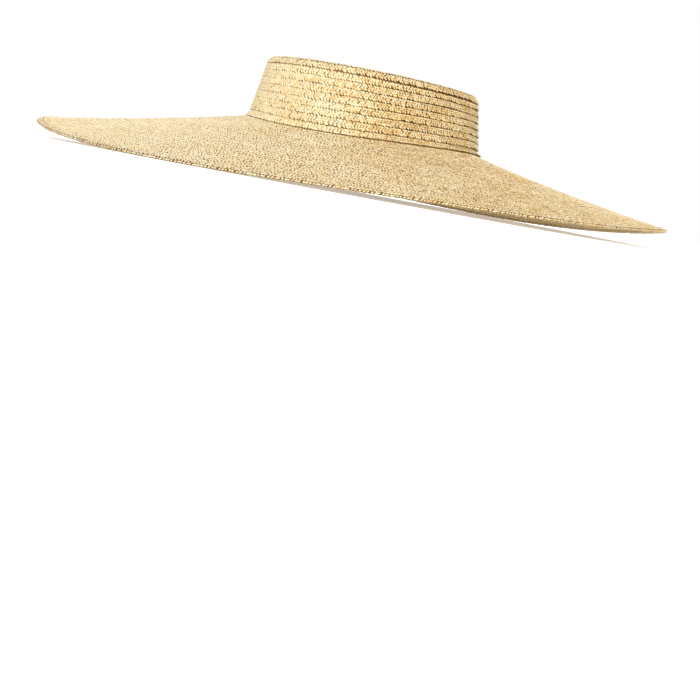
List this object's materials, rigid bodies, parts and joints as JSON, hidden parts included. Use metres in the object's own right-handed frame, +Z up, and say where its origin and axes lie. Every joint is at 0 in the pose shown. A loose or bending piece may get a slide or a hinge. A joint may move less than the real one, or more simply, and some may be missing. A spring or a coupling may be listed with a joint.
{
  "type": "wide-brim straw sun hat",
  "caption": "Flat-topped oval straw crown on a very wide, shallow, gently waved brim; worn on the head to give shade.",
  "frame": {"origin": "on the surface that the brim's rim rests on, straight below the middle of the crown", "axes": "+Z up through the crown, -Y towards the wearer's face, +X towards the wearer's left"},
  "size_m": [0.4866, 0.5192, 0.0928],
  "materials": {
    "crown_straw": "sewn wheat-straw braid, satin",
    "brim_straw": "sewn wheat-straw braid, satin",
    "edge_straw": "doubled and stitched wheat-straw braid, satin"
  },
  "bodies": {
    "root": {"crown_tip": "crown_straw", "crown_side": "crown_straw", "brim": "brim_straw", "brim_edge": "edge_straw"}
  },
  "joints": []
}
